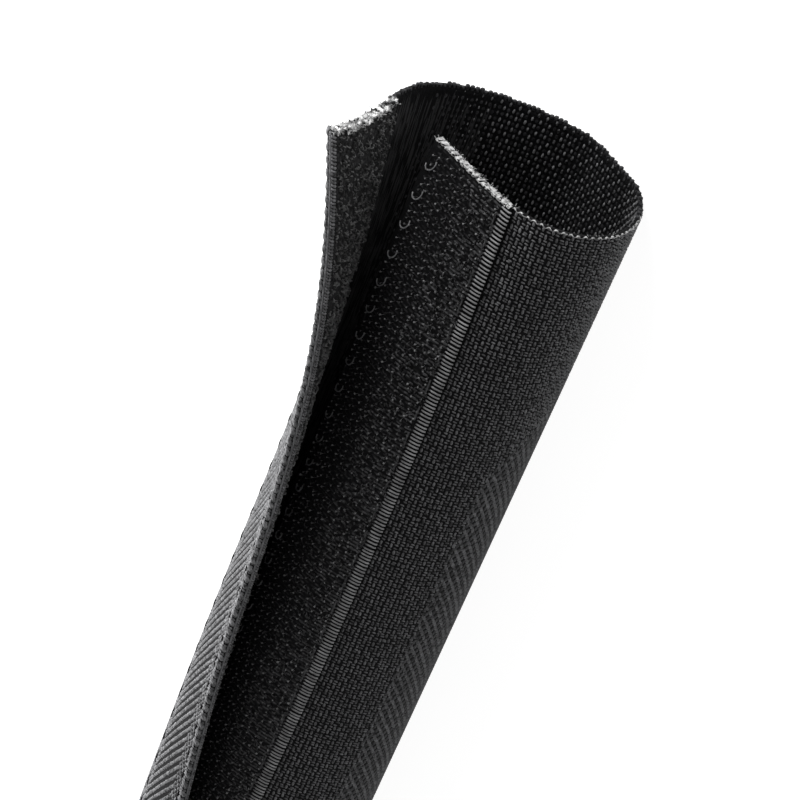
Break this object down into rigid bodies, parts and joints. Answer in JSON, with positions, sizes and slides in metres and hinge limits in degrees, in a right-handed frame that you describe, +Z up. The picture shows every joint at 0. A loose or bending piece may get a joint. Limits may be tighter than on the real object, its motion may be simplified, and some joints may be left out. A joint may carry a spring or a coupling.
{
  "type": "wrap-around cable sleeve",
  "caption": "Woven wrap-around sleeve for bundling cables, shut along its length by a hook tape and a loop tape, peeled open at one end.",
  "frame": {"origin": "middle of the flat strip that the sleeve lies on", "axes": "+X along the sleeve to its open mouth, +Z up"},
  "size_m": [0.2, 0.0366, 0.0427],
  "materials": {
    "cloth": "woven black polyester, herringbone outside",
    "hook_tape": "black woven hook tape with stiff hooks",
    "loop_tape": "black napped loop pile",
    "thread": "dark grey polyester sewing thread"
  },
  "bodies": {
    "root": {"woven_body": "cloth", "hook_tape": "hook_tape", "loop_tape": "loop_tape", "hook_seam_inner": "thread", "hook_seam_edge": "thread", "loop_seam_inner": "thread", "loop_seam_edge": "thread"}
  },
  "joints": []
}
